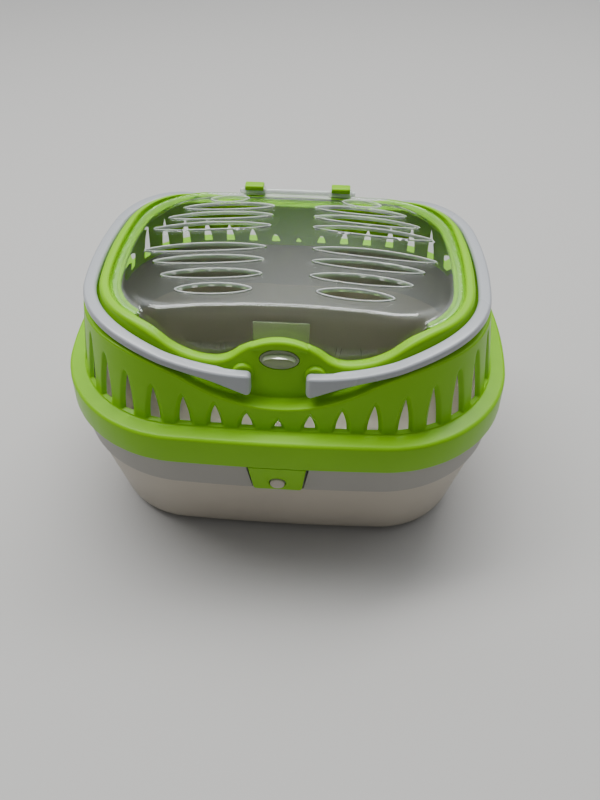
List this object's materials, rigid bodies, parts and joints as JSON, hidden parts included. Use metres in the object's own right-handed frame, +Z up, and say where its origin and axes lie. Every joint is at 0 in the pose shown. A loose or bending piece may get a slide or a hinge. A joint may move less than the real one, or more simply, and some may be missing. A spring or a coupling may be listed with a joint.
{
  "type": "pet travel carrier",
  "caption": "Small travel carrier for a bird: slotted shell on a tray, clear hinged lid with a latch button, fold-up carrying handles.",
  "frame": {"origin": "on the floor, under the centre of the carrier's bounding box", "axes": "+X to the right, +Y to the back where the lid is hinged, +Z up"},
  "size_m": [0.304, 0.234, 0.1821],
  "materials": {
    "tray_plastic": "light warm grey moulded plastic, satin",
    "shell_plastic": "lime green moulded plastic, satin gloss",
    "clear_plastic": "clear moulded plastic, glossy",
    "handle_plastic": "light lavender grey moulded plastic, satin gloss"
  },
  "bodies": {
    "tray": {"tray": "tray_plastic"},
    "shell": {"body_shell": "shell_plastic"},
    "front_clip": {"front_clip": "shell_plastic"},
    "rear_clip": {"rear_clip": "shell_plastic"},
    "lid": {"lid": "clear_plastic"},
    "latch_tongue": {"lid_latch_tongue": "clear_plastic"},
    "left_handle": {"left_handle": "handle_plastic"},
    "right_handle": {"right_handle": "handle_plastic"}
  },
  "joints": [
    {"name": "shell_lift", "type": "slide", "parent": "tray", "child": "shell", "axis": [0, 0, 1], "range_m": [0, 0.06], "deforming": ["front_clip", "rear_clip"]},
    {"name": "front_clip_flex", "type": "hinge", "parent": "shell", "child": "front_clip", "pos_m": [0, -0.117, 0.0962], "axis": [-1, 0, 0], "range_deg": [0, 14], "stiffness_Nm_per_rad": 1.2},
    {"name": "rear_clip_flex", "type": "hinge", "parent": "shell", "child": "rear_clip", "pos_m": [0, 0.117, 0.0962], "axis": [1, 0, 0], "range_deg": [0, 14], "stiffness_Nm_per_rad": 1.2},
    {"name": "lid_hinge", "type": "hinge", "parent": "shell", "child": "lid", "pos_m": [0, 0.082, 0.1742], "axis": [1, 0, 0], "range_deg": [-100, 0], "deforming": ["lid_latch_tongue"]},
    {"name": "latch_press", "type": "slide", "parent": "lid", "child": "latch_tongue", "axis": [0, 1, 0], "range_m": [0, 0.0036], "stiffness_N_per_m": 900},
    {"name": "left_handle_pivot", "type": "hinge", "parent": "shell", "child": "left_handle", "pos_m": [-0.021, 0, 0.1496], "axis": [0, 1, 0], "range_deg": [0, 88]},
    {"name": "right_handle_pivot", "type": "hinge", "parent": "shell", "child": "right_handle", "pos_m": [0.021, 0, 0.1496], "axis": [0, -1, 0], "range_deg": [0, 88]}
  ]
}
